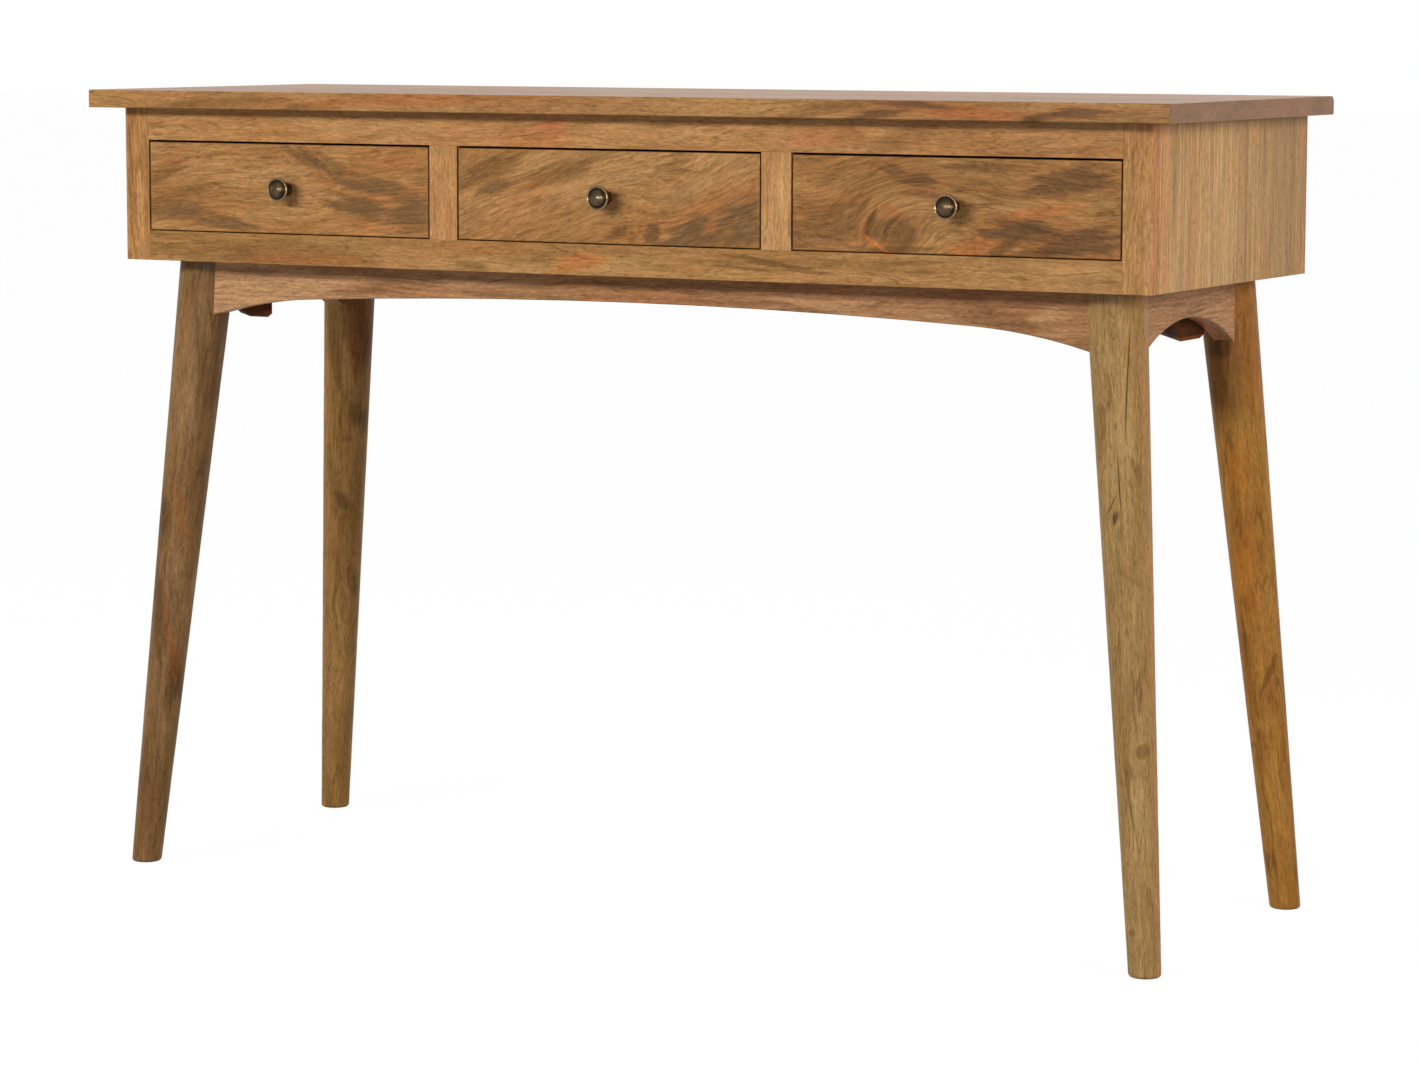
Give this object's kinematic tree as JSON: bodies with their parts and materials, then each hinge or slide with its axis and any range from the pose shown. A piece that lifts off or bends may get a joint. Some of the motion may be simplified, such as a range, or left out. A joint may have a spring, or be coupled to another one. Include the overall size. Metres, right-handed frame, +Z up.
{
  "type": "writing desk with drawers",
  "caption": "Wooden writing desk with a row of inset drawers on wooden runners, turned brass knobs, an overhanging top, arched aprons and splayed tapered round legs.",
  "frame": {"origin": "on the floor, under the centre of the desk top", "axes": "+X to the sitter's right along the desk, +Y from the drawers to the back, +Z up"},
  "size_m": [1.125, 0.39, 0.76],
  "materials": {
    "top_wood": "satin waxed lengthwise grain",
    "frame_wood": "satin waxed straight grain",
    "side_wood": "satin waxed upright grain in glued staves",
    "drawer_front_wood": "satin waxed figured grain",
    "inner_wood": "raw planed",
    "panel_wood": "raw thin board",
    "apron_wood": "satin waxed lengthwise grain",
    "leg_wood": "satin waxed turned grain",
    "antique_brass": "aged, worn on the rim",
    "dark_steel": "blackened"
  },
  "bodies": {
    "desk": {"back_panel": "side_wood", "bottom_board": "panel_wood", "bottom_rail": "frame_wood", "desk_top": "top_wood", "drawer_stops": "inner_wood", "flange_nuts": "dark_steel", "front_apron": "apron_wood", "front_left_corner_block": "inner_wood", "front_left_leg": "leg_wood", "front_right_corner_block": "inner_wood", "front_right_leg": "leg_wood", "hanger_bolts": "dark_steel", "left_apron": "apron_wood", "left_divider": "frame_wood", "left_drawer_left_runner": "inner_wood", "left_drawer_right_runner": "inner_wood", "left_kicker": "inner_wood", "left_partition": "inner_wood", "left_side_panel": "side_wood", "left_stile": "frame_wood", "middle_drawer_left_runner": "inner_wood", "middle_drawer_right_runner": "inner_wood", "middle_kicker": "inner_wood", "rear_apron": "apron_wood", "rear_left_corner_block": "inner_wood", "rear_left_leg": "leg_wood", "rear_right_corner_block": "inner_wood", "rear_right_leg": "leg_wood", "right_apron": "apron_wood", "right_divider": "frame_wood", "right_drawer_left_runner": "inner_wood", "right_drawer_right_runner": "inner_wood", "right_kicker": "inner_wood", "right_partition": "inner_wood", "right_side_panel": "side_wood", "right_stile": "frame_wood", "top_rail": "frame_wood", "wood_screws": "dark_steel"},
    "left_drawer": {"left_drawer_back": "inner_wood", "left_drawer_bottom": "panel_wood", "left_drawer_front": "drawer_front_wood", "left_drawer_left_side": "inner_wood", "left_drawer_right_side": "inner_wood", "left_knob": "antique_brass", "left_knob_screw": "dark_steel"},
    "middle_drawer": {"middle_drawer_back": "inner_wood", "middle_drawer_bottom": "panel_wood", "middle_drawer_front": "drawer_front_wood", "middle_drawer_left_side": "inner_wood", "middle_drawer_right_side": "inner_wood", "middle_knob": "antique_brass", "middle_knob_screw": "dark_steel"},
    "right_drawer": {"right_drawer_back": "inner_wood", "right_drawer_bottom": "panel_wood", "right_drawer_front": "drawer_front_wood", "right_drawer_left_side": "inner_wood", "right_drawer_right_side": "inner_wood", "right_knob": "antique_brass", "right_knob_screw": "dark_steel"}
  },
  "joints": [
    {"name": "left_drawer_slide", "type": "slide", "parent": "desk", "child": "left_drawer", "axis": [0, -1, 0], "range_m": [0, 0.24]},
    {"name": "middle_drawer_slide", "type": "slide", "parent": "desk", "child": "middle_drawer", "axis": [0, -1, 0], "range_m": [0, 0.24]},
    {"name": "right_drawer_slide", "type": "slide", "parent": "desk", "child": "right_drawer", "axis": [0, -1, 0], "range_m": [0, 0.24]}
  ]
}
